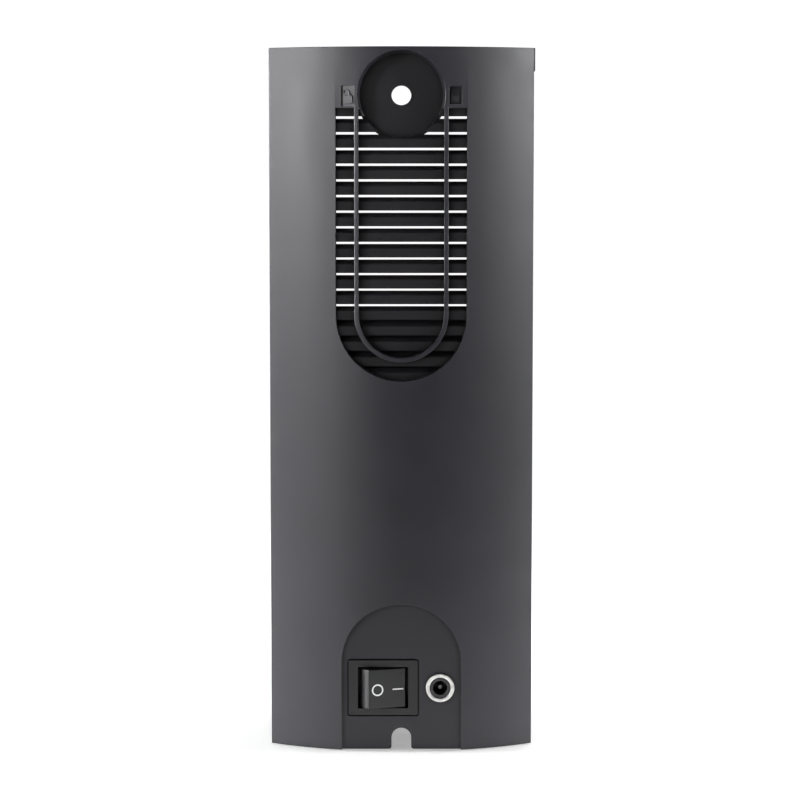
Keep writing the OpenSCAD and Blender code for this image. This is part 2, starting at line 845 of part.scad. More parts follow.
module fan_bush() {
  color([0.7, 0.55, 0.3]) translate([0, 0, fan_z + 1.4]) difference() {
    cylinder(h = 14.6, r = 3.2);
    translate([0, 0, -1]) cylinder(h = 20, r = pin_r + run);
  }
}

module fan_shaft() {
  color(steel) translate([0, 0, fan_z + 2]) cylinder(h = 16.2, r = pin_r);
}

module fan_rotor() {
  hub_r = 14;
  low = fan_z + 3.4;
  top = fan_z + 18.4;
  color([0.1, 0.1, 0.11]) {
    difference() {
      translate([0, 0, low]) cylinder(h = top - low, r = hub_r);
      difference() {
        translate([0, 0, low - 1]) cylinder(h = top - low - 0.7, r = hub_r - 1.1);
        translate([0, 0, fan_z + 16.4]) cylinder(h = 10, r = 4);
      }
      translate([0, 0, low]) cylinder(h = fan_z + 18.2 - low, r = pin_r);
    }
    for (k = [0 : blade_count - 1]) rotate(k * 360 / blade_count)
      intersection() {
        difference() {
          translate([0, 0, low]) cylinder(h = top - low - 0.4, r = blade_tip_r);
          translate([0, 0, low - 1]) cylinder(h = 30, r = hub_r - 0.4);
        }
        translate([hub_r - 2, 0, (low + top) / 2]) rotate([38, 0, 0])
          translate([0, -14, -0.6]) cube([22, 28, 1.2]);
      }
  }
}

module fan_magnet() {
  color([0.2, 0.2, 0.2]) translate([0, 0, fan_z + 4]) difference() {
    cylinder(h = 11, r = 12.9);
    translate([0, 0, -1]) cylinder(h = 20, r = 11.7);
  }
}

module fan_gasket() {
  z = deck_z + deck_t;
  color([0.2, 0.2, 0.2]) difference() {
    translate([0, 0, z]) linear_extrude(fan_z - z) rounded([fan_size, fan_size], 4);
    translate([0, 0, z - 1]) cylinder(h = 10, r = fan_bore_r + 0.5);
    for (sx = [-1, 1], sy = [-1, 1])
      translate([sx * fan_hole, sy * fan_hole, z - 1]) cylinder(h = 10, r = 2.2);
  }
}

module fan_screws() {
  color(steel) for (sx = [-1, 1], sy = [-1, 1])
    translate([sx * fan_hole, sy * fan_hole, fan_z + fan_h + 2]) screw(1.9, 25.5, 3.4, 2);
}

// ---- electrics -----------------------------------------------------------

module status_led() {
  color([0.9, 1, 0.9]) {
    ycyl(1.9, 34, 1, z = 153.2);
    ycyl(1.45, 35, 2.6, z = 153.2);
  }
}

module light_pipe() {
  color([0.85, 0.9, 0.95]) ycyl(1.5, 38, front_y - 38.1, z = 153.2);
}

module ioniser() {
  color([0.16, 0.16, 0.2]) block([-50, -16, 204], [-36.6, 18, 244]);
  color([0.9, 0.9, 0.88]) for (z = [212, 224, 236])
    xcyl(0.65, -36.6, 1.5, 0, z);
}

module ioniser_needles() {
  color(steel) for (z = [212, 224, 236])
    translate([-35.1, 0, z]) rotate([0, 90, 0]) cylinder(h = 2.6, r1 = 0.45, r2 = 0.1);
}

// ---- rocker switch -------------------------------------------------------

module switch_body() {
  color(black) translate([switch_x, 0, socket_z]) difference() {
    union() {
      face(rear(bezel_d), rear(bezel_d + bezel_t)) rounded(bezel, 0.8);
      face(rear(bezel_d + bezel_t), rear(switch_back)) square(barrel, center = true);
      // Spring wings that grip the back of the panel
      for (s = [-1, 1])
        translate([s * barrel.x / 2, rear(pad_d + 0.1), -4]) linear_extrude(8)
          polygon([[0, 0], [s * 1.3, 0], [0, 6]]);
    }
    face(rear(0), rear(switch_back - 3)) square(window, center = true);
    translate([0, rear(rocker_d), -10.3]) cylinder(h = 20.6, r = pin_r + run);
  }
}

// Rocker outline: a drum cut flat, tilted to its rest
module rocker_shape() {
  rotate(rocker_tilt) intersection() {
    circle(rocker_r);
    translate([-20, -rocker_top]) square([40, rocker_top + rocker_low]);
  }
}

// The round mark and the bar, sunk into the rocker's face
module rocker_marks(depth) {
  mark_z = -0.45;
  rotate([0, 0, rocker_tilt]) {
    translate([-4.3, 0, mark_z]) difference() {
      ycyl(2.65, -rocker_top, depth);
      ycyl(2, -rocker_top - 1, depth + 2);
    }
    block([2.6, -rocker_top, mark_z - 0.3], [7.6, -rocker_top + depth, mark_z + 0.3]);
  }
}

module switch_rocker() {
  color(black) translate([switch_x, rear(rocker_d), socket_z]) difference() {
    union() {
      translate([0, 0, -rocker_h / 2]) linear_extrude(rocker_h) rocker_shape();
      translate([0, 0, -10.1]) cylinder(h = 20.2, r = pin_r);
    }
    rocker_marks(0.3);
  }
}

module switch_marks() {
  color("white") translate([switch_x, rear(rocker_d), socket_z]) rocker_marks(0.3);
}

module switch_terminals() {
  color([0.8, 0.7, 0.4]) for (x = [-7, 0, 7])
    block([switch_x + x - 0.4, rear(switch_back), socket_z - 2.4],
          [switch_x + x + 0.4, rear(switch_back + 7), socket_z + 2.4]);
}

// ---- power socket --------------------------------------------------------

module jack_barrel() {
  color(steel) difference() {
    union() {
      ycyl(jack_r, rear(3.7), recess_d - 3.7, x = jack_x, z = socket_z);
      ycyl(thread_r, rear(3.7), 12, x = jack_x, z = socket_z);
    }
    ycyl(insert_r, rear(0), 30, x = jack_x, z = socket_z);
    // Punch marks that stake the flange
    for (a = [13, 90, 166])
      ycyl(0.32, rear(3.6), 0.25, x = jack_x + 5.55 * cos(a), z = socket_z + 5.55 * sin(a));
  }
}

module jack_insert() {
  color(black) difference() {
    ycyl(insert_r, rear(4.2), 13, x = jack_x, z = socket_z);
    ycyl(socket_r, rear(3), 11.2, x = jack_x, z = socket_z);
    ycyl(1.2, rear(3), 30, x = jack_x, z = socket_z);
  }
}

module jack_pin() {
  color(steel) {
    ycyl(1.2, rear(7), 11, x = jack_x, z = socket_z);
    ycyl(0.8, rear(6.5), 0.5, x = jack_x, z = socket_z, r2 = 1.2);
  }
}

module jack_nut() {
  color(steel) difference() {
    translate([jack_x, rear(recess_d + floor_t), socket_z]) rotate([-90, 0, 0])
      cylinder(h = 2.4, r = 8, $fn = 6);
    ycyl(thread_r, rear(0), 30, x = jack_x, z = socket_z);
  }
}

module jack_lugs() {
  color([0.8, 0.7, 0.4]) for (s = [-1, 1])
    block([jack_x + s * 3 - 0.3, rear(17.2), socket_z - 1.2],
          [jack_x + s * 3 + 0.3, rear(22), socket_z + 1.2]);
}

// ---- wiring --------------------------------------------------------------

// Catmull-Rom point between p[i] and p[i + 1]
function spline(p, i, t) =
  let (a = p[max(i - 1, 0)], b = p[i], c = p[i + 1], d = p[min(i + 2, len(p) - 1)])
  0.5 * (2 * b + (c - a) * t + (2 * a - 5 * b + 4 * c - d) * t * t
         + (3 * b - a - 3 * c + d) * t * t * t);

function smooth(p, n) = concat(
  [for (i = [0 : len(p) - 2], k = [0 : n - 1]) spline(p, i, k / n)], [p[len(p) - 1]]);

function unit(v) = v / norm(v);

module wire(points, r = 0.7) {
  sides = 8;
  path = smooth(points, 4);
  last = len(path) - 1;
  rings = [for (i = [0 : last])
    let (dir = unit(path[min(i + 1, last)] - path[max(i - 1, 0)]),
         u = unit(cross(dir, [0.3, 0.2, 0.93])), v = cross(dir, u))
    for (k = [0 : sides - 1])
      path[i] + r * (cos(k * 360 / sides) * u + sin(k * 360 / sides) * v)];
  walls = [for (i = [0 : last - 1], k = [0 : sides - 1])
    let (a = i * sides + k, b = i * sides + (k + 1) % sides)
    for (t = [[a, a + sides, b + sides], [a, b + sides, b]]) t];
  ends = [[for (k = [0 : sides - 1]) k],
          [for (k = [sides - 1 : -1 : 0]) last * sides + k]];
  polyhedron(points = rings, faces = concat(walls, ends), convexity = 4);
}

module wiring() {
  low_y = rear(22);
  // Socket to board and switch to board
  color([0.7, 0.1, 0.1]) {
    wire([[20.2, low_y + 0.7, 28], [20.2, -25, 34], [18, -24, 48], [10, -24, 56]]);
    wire([[-8.1, -18.3, 28], [-8.1, -18.6, 36], [-4, -24, 48], [-2, -26, 56]]);
  }
  color([0.08, 0.08, 0.08])
    wire([[14.2, low_y + 0.7, 28], [14.2, -25, 34], [10, -26, 48], [6, -25, 55]]);
}

rear_cover();
rear_louvre();
lock_disc();
lock_retainer();
lock_cam();
retainer_screws();
lock_sleeve();
front_housing();
front_grille();
top_cap();
base_plate();
rubber_feet();
base_screws();
filter_door();
door_magnets();
catch_plates();
door_pins();
prefilter();
filter_frame();
filter_media();
carbon_filter();
filter_tab();
filter_seal();
bulkhead();
chassis_wall();
fan_deck();
deck_screws();
air_duct();
fan_frame();
fan_stator();
fan_coils();
fan_bush();
fan_rotor();
fan_magnet();
fan_shaft();
fan_gasket();
fan_screws();
control_board();
board_parts();
board_screws();
status_led();
light_pipe();
ioniser();
ioniser_needles();
switch_body();
switch_rocker();
switch_marks();
switch_terminals();
jack_barrel();
jack_insert();
jack_pin();
jack_nut();
jack_lugs();
wiring();
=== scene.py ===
"""Compact desktop air purifier seen from behind: materials, fine detail, camera and studio."""
import json
import math

import bpy
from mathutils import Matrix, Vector, noise


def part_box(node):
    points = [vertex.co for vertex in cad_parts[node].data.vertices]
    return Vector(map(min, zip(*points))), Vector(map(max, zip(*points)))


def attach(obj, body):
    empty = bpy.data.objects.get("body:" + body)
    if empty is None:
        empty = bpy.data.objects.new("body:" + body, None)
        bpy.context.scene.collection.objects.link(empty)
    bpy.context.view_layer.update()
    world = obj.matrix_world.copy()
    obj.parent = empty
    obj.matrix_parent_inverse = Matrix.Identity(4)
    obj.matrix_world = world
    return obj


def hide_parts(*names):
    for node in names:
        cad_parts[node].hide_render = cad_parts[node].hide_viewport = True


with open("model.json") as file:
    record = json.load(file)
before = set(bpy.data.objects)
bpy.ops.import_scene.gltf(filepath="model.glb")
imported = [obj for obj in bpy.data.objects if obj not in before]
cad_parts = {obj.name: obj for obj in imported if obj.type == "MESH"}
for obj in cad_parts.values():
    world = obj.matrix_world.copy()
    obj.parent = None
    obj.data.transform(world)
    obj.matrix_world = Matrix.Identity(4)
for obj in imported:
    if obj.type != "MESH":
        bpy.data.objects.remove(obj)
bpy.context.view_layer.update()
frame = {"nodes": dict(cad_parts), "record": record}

MM = 0.001
NODES = frame["nodes"]
BODIES = frame["record"]["behaviour"]["bodies"]
BODY_OF = {node: body for body, nodes in BODIES.items() for node in nodes}
SLOT_OF = {row["node"]: row["material_slot"] for row in frame["record"]["subparts"]}
REAR_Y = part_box("rear_cover")[0].y


# ---- material tools --------------------------------------------------------

def material(name, color, roughness, metallic=0.0, **sockets):
    """A new material with a Principled shader. Other sockets go by name, with _ for spaces."""
    packed = bpy.data.materials.get(name)
    if packed:
        packed.name = name + "_packed"
    made = bpy.data.materials.new(name)
    made.use_nodes = True
    shader = made.node_tree.nodes["Principled BSDF"]
    shader.inputs["Base Color"].default_value = (*color, 1.0)
    shader.inputs["Roughness"].default_value = roughness
    shader.inputs["Metallic"].default_value = metallic
    for socket, value in sockets.items():
        shader.inputs[socket.replace("_", " ")].default_value = value
    return made


def add(made, kind, **settings):
    node = made.node_tree.nodes.new(kind)
    for key, value in settings.items():
        if key in node.inputs:
            node.inputs[key].default_value = value
        else:
            setattr(node, key, value)
    return node


def link(made, source, output, target, socket):
    made.node_tree.links.new(source.outputs[output], target.inputs[socket])


def shader_of(made):
    return made.node_tree.nodes["Principled BSDF"]


def place(made, stretch=(1, 1, 1), turn=(0, 0, 0)):
    """Object coordinates in metres, turned in degrees and stretched along each axis."""
    coords = add(made, "ShaderNodeTexCoord")
    mapping = add(made, "ShaderNodeMapping", Scale=stretch,
                  Rotation=[math.radians(a) for a in turn])
    link(made, coords, "Object", mapping, "Vector")
    return mapping


def noise_on(made, scale, detail=2.0, stretch=(1, 1, 1)):
    made_noise = add(made, "ShaderNodeTexNoise", Scale=scale, Detail=detail)
    link(made, place(made, stretch), "Vector", made_noise, "Vector")
    return made_noise


def cells_on(made, scale):
    """Cells 1 / scale metres across."""
    cells = add(made, "ShaderNodeTexVoronoi", Scale=scale)
    link(made, place(made), "Vector", cells, "Vector")
    return cells


def waves_on(made, scale, direction, distortion=0.0):
    """Smooth bands along a direction, 314 / scale millimetres apart."""
    waves = add(made, "ShaderNodeTexWave", Scale=scale, Distortion=distortion, wave_profile="SIN",
                bands_direction=direction)
    waves.inputs["Detail Scale"].default_value = 3.0
    link(made, place(made), "Vector", waves, "Vector")
    return waves


def bump_from(made, height_node, output, strength, distance):
    """Adds a bump, on top of any that the shader already has."""
    normal = shader_of(made).inputs["Normal"]
    bump = add(made, "ShaderNodeBump", Strength=strength, Distance=distance)
    if normal.links:
        made.node_tree.links.new(normal.links[0].from_socket, bump.inputs["Normal"])
    link(made, height_node, output, bump, "Height")
    made.node_tree.links.new(bump.outputs["Normal"], normal)
    return made


def spread_value(made, node, output, socket, low, high, start=0.3, end=0.7):
    """Drives a value socket from low to high as another node's output goes from start to end."""
    spread = add(made, "ShaderNodeMapRange")
    for name, value in (("From Min", start), ("From Max", end), ("To Min", low), ("To Max", high)):
        spread.inputs[name].default_value = value
    link(made, node, output, spread, "Value")
    link(made, spread, "Result", shader_of(made), socket)
    return made


def ramp_colour(made, node, output, dark, light, start=0.3, end=0.7):
    """Drives the base colour between two tones."""
    ramp = add(made, "ShaderNodeValToRGB")
    for stop, position, tone in zip(ramp.color_ramp.elements, (start, end), (dark, light)):
        stop.position = position
        stop.color = (*tone, 1)
    link(made, node, output, ramp, "Fac")
    link(made, ramp, "Color", shader_of(made), "Base Color")
    return made


def vary(made, socket, low, high, scale, detail=3.0, stretch=(1, 1, 1)):
    return spread_value(made, noise_on(made, scale, detail, stretch), "Fac", socket, low, high)


def tint(made, dark, light, scale, detail=3.0, stretch=(1, 1, 1)):
    return ramp_colour(made, noise_on(made, scale, detail, stretch), "Fac", dark, light)


def grain(made, scale, strength, distance, detail=2.0, stretch=(1, 1, 1)):
    return bump_from(made, noise_on(made, scale, detail, stretch), "Fac", strength, distance)


# ---- materials -------------------------------------------------------------

def shades(tone, amount):
    return [c * (1 - amount) for c in tone], [c * (1 + amount) for c in tone]


def paint_corner_shade(made, reach):
    """Painted shade: multiplies the base colour by the square of its ambient occlusion, so that
    corners and gaps narrower than reach millimetres are darker where shade would fall."""
    colour = shader_of(made).inputs["Base Color"]
    # painted shade: ambient occlusion darkens the colour in corners and gaps
    corner_shade = add(made, "ShaderNodeAmbientOcclusion", samples=6)
    corner_shade.inputs["Distance"].default_value = reach * MM
    made.node_tree.links.new(colour.links[0].from_socket, corner_shade.inputs["Color"])
    depth = add(made, "ShaderNodeMix", data_type="RGBA", blend_type="MULTIPLY")
    depth.inputs["Factor"].default_value = 1.0
    link(made, corner_shade, "Color", depth, "A")
    link(made, corner_shade, "AO", depth, "B")
    made.node_tree.links.new(depth.outputs["Result"], colour)
    return made


def moulded(name, tone, roughness, texture=0.35, specular=0.5):
    """Spark-eroded satin plastic: fine grain, faint flow marks, uneven gloss, painted shade."""
    made = material(name, tone, roughness, Specular_IOR_Level=specular)
    tint(made, *shades(tone, 0.07), 45, 4)
    # painted shade: corners and gaps darkened by ambient occlusion
    paint_corner_shade(made, 2.5)
    vary(made, "Roughness", roughness - 0.03, roughness + 0.03, 90, 4)
    grain(made, 2600, texture, 0.00003)
    return grain(made, 60, 0.04, 0.0004, 1)


def metal(name, tone, roughness, stretch=(1, 1, 1), marks=0.25):
    """Plated or bare metal with fine tool marks and cloudy gloss."""
    made = material(name, tone, roughness, 1.0)
    tint(made, *shades(tone, 0.08), 160, 4)
    vary(made, "Roughness", roughness * 0.75, roughness * 1.3, 240, 4, stretch)
    return grain(made, 1500, marks, 0.00002, 3, stretch)


def foam(name, tone, pore, depth):
    """Open foam: pores of a given size and depth in millimetres, darker inside: painted shade."""
    made = material(name, tone, 0.95, Specular_IOR_Level=0.2, Sheen_Weight=0.2)
    cells = cells_on(made, 1000 / pore)
    # painted shade: the low parts of the pores are darker
    ramp_colour(made, cells, "Distance", shades(tone, 0.2)[1], [c * 0.25 for c in tone], 0.25, 0.75)
    bump_from(made, cells, "Distance", 0.8, -depth * MM)
    return grain(made, 3000, 0.3, 0.0001)


def paper(name, tone, fibre):
    """Fibrous sheet: long crossed fibres and soft cloudy thickness."""
    made = material(name, tone, 0.92, Specular_IOR_Level=0.25, Sheen_Weight=0.15,
                    Subsurface_Weight=0.08, Subsurface_Scale=0.002)
    tint(made, *shades(tone, 0.05), 120, 5, (1, 1, 0.4))
    grain(made, 2200, fibre, 0.00006, 4, (1, 1, 0.18))
    return grain(made, 1700, fibre, 0.00005, 4, (0.2, 1, 1))


def ribbon_cloth(name, tone):
    """Plain weave 1 mm apart, which is coarser than a real ribbon's."""
    made = material(name, tone, 0.85, Specular_IOR_Level=0.3, Sheen_Weight=0.3)
    warp = waves_on(made, 320, "X")
    weft = waves_on(made, 320, "Z")
    tint(made, *shades(tone, 0.2), 900, 3, (1, 1, 0.3))
    bump_from(made, warp, "Fac", 0.5, 0.00012)
    return bump_from(made, weft, "Fac", 0.5, 0.00012)


def circuit_mask(name, tone):
    """Green solder mask with raised tracks and bright pads showing through."""
    made = material(name, tone, 0.28, Coat_Weight=0.4, Coat_Roughness=0.15)
    tracks = add(made, "ShaderNodeTexBrick", Scale=1.0, offset=0.37, squash=1.0)
    for socket, value in (("Brick Width", 0.011), ("Row Height", 0.0032), ("Mortar Size", 0.00032),
                          ("Mortar Smooth", 0.2)):
        tracks.inputs[socket].default_value = value
    flat = place(made, turn=(90, 0, 0))
    link(made, flat, "Vector", tracks, "Vector")
    ramp_colour(made, tracks, "Fac", tone, [c * 1.9 for c in tone], 0.2, 0.8)
    bump_from(made, tracks, "Fac", 0.5, 0.00005)
    return grain(made, 900, 0.08, 0.00003)


def laminated(name, tone):
    """Stacked steel sheets as level lines 3 mm apart, which is coarser than real sheets."""
    made = metal(name, tone, 0.4)
    lines = waves_on(made, 100, "Z")
    return bump_from(made, lines, "Fac", 0.5, 0.00008)


def wound(name, tone):
    """Enamelled wire in level turns 1.6 mm apart, which is coarser than real turns."""
    made = material(name, tone, 0.25, 1.0, Coat_Weight=0.6, Coat_Roughness=0.1)
    turns = waves_on(made, 200, "Z", 0.3)
    # painted shade: darker in the grooves between the turns
    ramp_colour(made, turns, "Fac", [c * 0.45 for c in tone], tone, 0.1, 0.6)
    return bump_from(made, turns, "Fac", 0.8, 0.00012)


def clear(name, tone, roughness, frost=0.0):
    made = material(name, tone, roughness, IOR=1.49, Transmission_Weight=1.0 - frost)
    vary(made, "Roughness", roughness * 0.6, roughness * 1.5, 300, 3)
    return grain(made, 1400, 0.08, 0.00002)


def granules(name, tone):
    """Coarse carbon grains stuck on a scrim."""
    made = material(name, tone, 0.75, Specular_IOR_Level=0.6)
    cells = cells_on(made, 1100)
    ramp_colour(made, cells, "Color", [c * 0.5 for c in tone], [c * 1.6 for c in tone])
    bump_from(made, cells, "Distance", 1.0, -0.0004)
    return vary(made, "Roughness", 0.5, 0.9, 900)


def rubber(name, tone):
    made = material(name, tone, 0.8, Specular_IOR_Level=0.3, Sheen_Weight=0.15)
    tint(made, *shades(tone, 0.25), 300, 4)
    return grain(made, 1800, 0.4, 0.00006, 3)


def printed(name, tone):
    made = material(name, tone, 0.45, Specular_IOR_Level=0.4)
    tint(made, *shades(tone, 0.03), 900, 3)
    return grain(made, 3000, 0.15, 0.00002)


def insulation(name, tone):
    made = material(name, tone, 0.32, Coat_Weight=0.2, Coat_Roughness=0.3)
    tint(made, *shades(tone, 0.15), 250, 3)
    return grain(made, 700, 0.15, 0.00004)


def sintered(name, tone):
    made = metal(name, tone, 0.42, marks=0.4)
    return bump_from(made, cells_on(made, 5000), "Distance", 0.5, 0.00004)


MATERIALS = {made.name: made for made in (
    moulded("cover_plastic", (0.021, 0.0204, 0.0268), 0.42),
    moulded("vent_plastic", (0.0128, 0.0122, 0.0142), 0.42, 0.2),
    # inner_plastic: black plastic made darker than the outside plastic, as painted shade for the
    # inside of the body
    moulded("inner_plastic", (0.007, 0.007, 0.0075), 0.6, 0.25, 0.3),
    metal("plated_steel", (0.62, 0.63, 0.66), 0.38),
    metal("screw_steel", (0.42, 0.42, 0.44), 0.38),
    rubber("foot_rubber", (0.016, 0.016, 0.016)),
    metal("magnet_nickel", (0.76, 0.74, 0.7), 0.16, marks=0.12),
    moulded("mesh_plastic", (0.035, 0.035, 0.038), 0.5, 0.15),
    paper("filter_card", (0.78, 0.77, 0.73), 0.2),
    paper("filter_paper", (0.86, 0.86, 0.82), 0.45),
    granules("carbon_foam", (0.012, 0.012, 0.013)),
    ribbon_cloth("tab_fabric", (0.05, 0.12, 0.28)),
    foam("seal_foam", (0.05, 0.05, 0.052), 0.5, 0.25),
    moulded("fan_plastic", (0.012, 0.012, 0.013), 0.33, 0.12),
    laminated("lamination_steel", (0.35, 0.35, 0.37)),
    wound("copper_wire", (0.72, 0.3, 0.12)),
    sintered("bronze", (0.6, 0.42, 0.2)),
    metal("magnet_ferrite", (0.09, 0.09, 0.092), 0.62, marks=0.5),
    circuit_mask("board_green", (0.012, 0.12, 0.045)),
    moulded("component_black", (0.02, 0.02, 0.022), 0.5, 0.5),
    clear("led_lens", (0.8, 0.95, 0.85), 0.2, 0.4),
    clear("clear_pipe", (0.9, 0.94, 0.95), 0.08),
    moulded("switch_plastic", (0.014, 0.014, 0.015), 0.33, 0.18),
    printed("mark_white", (0.88, 0.88, 0.88)),
    metal("contact_brass", (0.78, 0.68, 0.43), 0.38),
    metal("socket_nickel", (0.88, 0.87, 0.85), 0.38, (1, 0.15, 1), 0.2),
    insulation("wire_pvc", (0.28, 0.02, 0.02)),
)}
NODE_FINISH = {          # nodes whose surface differs from the rest of their slot
    # jack_pin: a darker copy of the socket nickel, as painted shade inside the socket
    "jack_pin": metal("socket_pin", (0.16, 0.16, 0.165), 0.45, marks=0.3),
    "jack_insert": moulded("socket_plastic", (0.05, 0.05, 0.053), 0.45, 0.15),
    "rear_louvre": moulded("louvre_plastic", (0.0136, 0.013, 0.015), 0.44, 0.2, 0.4),
}


# ---- CAD nodes: materials and eased edges ----------------------------------

CREASE = 13            # degrees; faces that turn less than this are one curved surface
NAMED_WIDTHS = {       # edge radius in millimetres where it isn't the usual
    "rear_cover": 0.3, "rear_louvre": 0.1, "lock_disc": 0.1, "top_cap": 0.3, "front_housing": 0.3,
    "front_grille": 0.15, "filter_door": 0.3, "switch_body": 0.22, "switch_rocker": 0.3,
    "switch_marks": 0.04, "jack_barrel": 0.15, "jack_insert": 0.12, "jack_pin": 0.05,
    "rubber_feet": 0.6,
    "fan_frame": 0.4, "air_duct": 0.3, "bulkhead": 0.3, "chassis_wall": 0.3, "filter_frame": 0.3,
    "ioniser": 0.4, "ioniser_needles": 0.02, "light_pipe": 0.1, "board_parts": 0.15,
}
USUAL_WIDTH = 0.15
WELD_REACH = 0.00001   # metres; points closer than this are one point
FINE_ZONES = {         # boxes in millimetres whose edges are finer: low corner, high corner, radius
    "rear_cover": (
        ((-25.4, -60, 285), (-20.7, -30, 292.6), 0.04),     # open padlock sign
        ((21.2, -60, 285.6), (25.3, -30, 292.6), 0.04),     # closed padlock sign
        ((-26.4, -60, 284), (-18.5, -30, 293.4), 0.15),    # their pockets
        ((20.7, -60, 285), (26.4, -30, 293.2), 0.15),
        ((-26, -45.2, 12), (26, -40, 44), 0.1),            # seats of the switch and socket
    ),
    "switch_rocker": (((-16, -60, 22), (1.5, -30, 34), 0.04),),      # the marks' grooves
}
ROUND_NODES = ("wiring",)
LARGE_NODES = ("rear_cover", "front_housing", "top_cap", "filter_door", "switch_rocker")


def crease_edges(mesh):
    """Mesh edges along the model's real corners, outer and inner, found by position because
    faces don't share points."""
    spots = {}
    spot_of = []
    for vertex in mesh.vertices:
        in_microns = tuple(round(c * 1e6) for c in vertex.co)
        spot_of.append(spots.setdefault(in_microns, len(spots)))
    faces_at = {}
    for face in mesh.polygons:
        for a, b in face.edge_keys:
            key = tuple(sorted((spot_of[a], spot_of[b])))
            faces_at.setdefault(key, []).append(face)
    outer, inner = [], []
    for edge in mesh.edges:
        faces = faces_at[tuple(sorted(spot_of[v] for v in edge.vertices))]
        if len(faces) != 2 or faces[0].normal.angle(faces[1].normal, 0) < math.radians(CREASE):
            continue
        stands_out = faces[0].normal.dot(faces[1].center - faces[0].center) < 0
        (outer if stands_out else inner).append(edge)
    return outer, inner


def width_at(node, spot):
    """Edge radius in millimetres at a place on a node, given in metres."""
    for low, high, width in FINE_ZONES.get(node, ()):
        if all(a <= c / MM <= b for a, c, b in zip(low, spot, high)):
            return width
    return NAMED_WIDTHS.get(node, USUAL_WIDTH)


def flag_edges(mesh, name, kind, values):
    if name in mesh.attributes:
        mesh.attributes.remove(mesh.attributes[name])
    mesh.attributes.new(name, kind, "EDGE").data.foreach_set("value", values)


def ease(node, segments):
    """Rounds a CAD node's outer corners in modifiers only, each edge by its own radius."""
    part = NODES[node]
    mesh = part.data
    if "custom_normal" in mesh.attributes:
        mesh.attributes.remove(mesh.attributes["custom_normal"])
    mesh.polygons.foreach_set("use_smooth", [True] * len(mesh.polygons))
    weld = part.modifiers.new("join_seams", "WELD")
    weld.merge_threshold = WELD_REACH
    if node in ROUND_NODES:
        return
    outer, inner = crease_edges(mesh)
    weights = [0.0] * len(mesh.edges)
    zone_widths = [width for low, high, width in FINE_ZONES.get(node, ())]
    widest = max([NAMED_WIDTHS.get(node, USUAL_WIDTH)] + zone_widths)
    for edge in outer:
        a, b = (mesh.vertices[v].co for v in edge.vertices)
        weights[edge.index] = width_at(node, (a + b) / 2) / widest
    sharp = [False] * len(mesh.edges)
    for edge in inner:
        sharp[edge.index] = True
    flag_edges(mesh, "bevel_weight_edge", "FLOAT", weights)
    flag_edges(mesh, "sharp_edge", "BOOLEAN", sharp)
    bevel = part.modifiers.new("eased_edges", "BEVEL")
    bevel.width = widest * MM
    bevel.segments = segments
    bevel.limit_method = "WEIGHT"
    bevel.use_clamp_overlap = node not in LARGE_NODES
    bevel.loop_slide = False
    normals = part.modifiers.new("even_shading", "WEIGHTED_NORMAL")
    normals.weight = 80
    normals.keep_sharp = True


for node, part in NODES.items():
    part.data.materials.clear()
    part.data.materials.append(NODE_FINISH.get(node, MATERIALS[SLOT_OF[node]]))
    ease(node, 3 if node == "rear_cover" else 2)


# ---- replacement pieces ----------------------------------------------------

X_AXIS, Y_AXIS, Z_AXIS = Vector((1, 0, 0)), Vector((0, 1, 0)), Vector((0, 0, 1))
ODD_WAY = Vector((0.31, 0.17, 0.94))     # a direction that no tube runs along


def box_of(node):
    low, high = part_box(node)
    return Vector(low), Vector(high)


def mesh_piece(name, verts, faces, node):
    """A smooth mesh piece, in metres, with a CAD node's slot and body."""
    mesh = bpy.data.meshes.new(name)
    mesh.from_pydata([tuple(v) for v in verts], [], faces)
    mesh.validate()
    mesh.polygons.foreach_set("use_smooth", [True] * len(mesh.polygons))
    piece = bpy.data.objects.new(name, mesh)
    bpy.context.scene.collection.objects.link(piece)
    piece.data.materials.append(MATERIALS[SLOT_OF[node]])
    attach(piece, BODY_OF[node])
    return piece


def tube(points, radius, sides):
    """Vertices and faces of a round tube along points, closed at both ends."""
    verts, faces = [], []
    count = len(points)
    for i, point in enumerate(points):
        after = points[min(i + 1, count - 1)]
        before = points[max(i - 1, 0)]
        way = (after - before).normalized()
        side = way.cross(ODD_WAY).normalized()
        up = way.cross(side)
        for k in range(sides):
            turn = 2 * math.pi * k / sides
            verts.append(point + radius * (math.cos(turn) * side + math.sin(turn) * up))
    for i in range(count - 1):
        a, b = i * sides, (i + 1) * sides
        faces += [(a + k, a + (k + 1) % sides, b + (k + 1) % sides, b + k) for k in range(sides)]
    faces.append(tuple(range(sides - 1, -1, -1)))
    faces.append(tuple((count - 1) * sides + k for k in range(sides)))
    return verts, faces


def join_shapes(shapes):
    verts, faces = [], []
    for more_verts, more_faces in shapes:
        start = len(verts)
        verts += more_verts
        faces += [tuple(start + i for i in face) for face in more_faces]
    return verts, faces


def loop_section(outline, section):
    """Sweeps a closed section of (out, rise) pairs round a closed outline, which holds rows of
    point, outward direction and lift direction."""
    verts = []
    for point, outward, lift in outline:
        verts += [point + outward * out + lift * rise for out, rise in section]
    sides, count = len(section), len(outline)
    faces = []
    for i in range(count):
        a, b = i * sides, (i + 1) % count * sides
        faces += [(a + k, b + k, b + (k + 1) % sides, a + (k + 1) % sides) for k in range(sides)]
    return verts, faces


def rounded_section(width, depth, corner_r, steps=3):
    """A rectangle reaching width inward and depth up, with round corners, as (out, rise) pairs."""
    inner, top = corner_r - width, depth - corner_r
    hubs = ((-corner_r, top), (inner, top), (inner, corner_r), (-corner_r, corner_r))
    section = []
    for corner, (x, y) in enumerate(hubs):
        for k in range(steps + 1):
            turn = math.radians(90 * (corner + k / steps))
            section.append((x + corner_r * math.cos(turn), y + corner_r * math.sin(turn)))
    return section


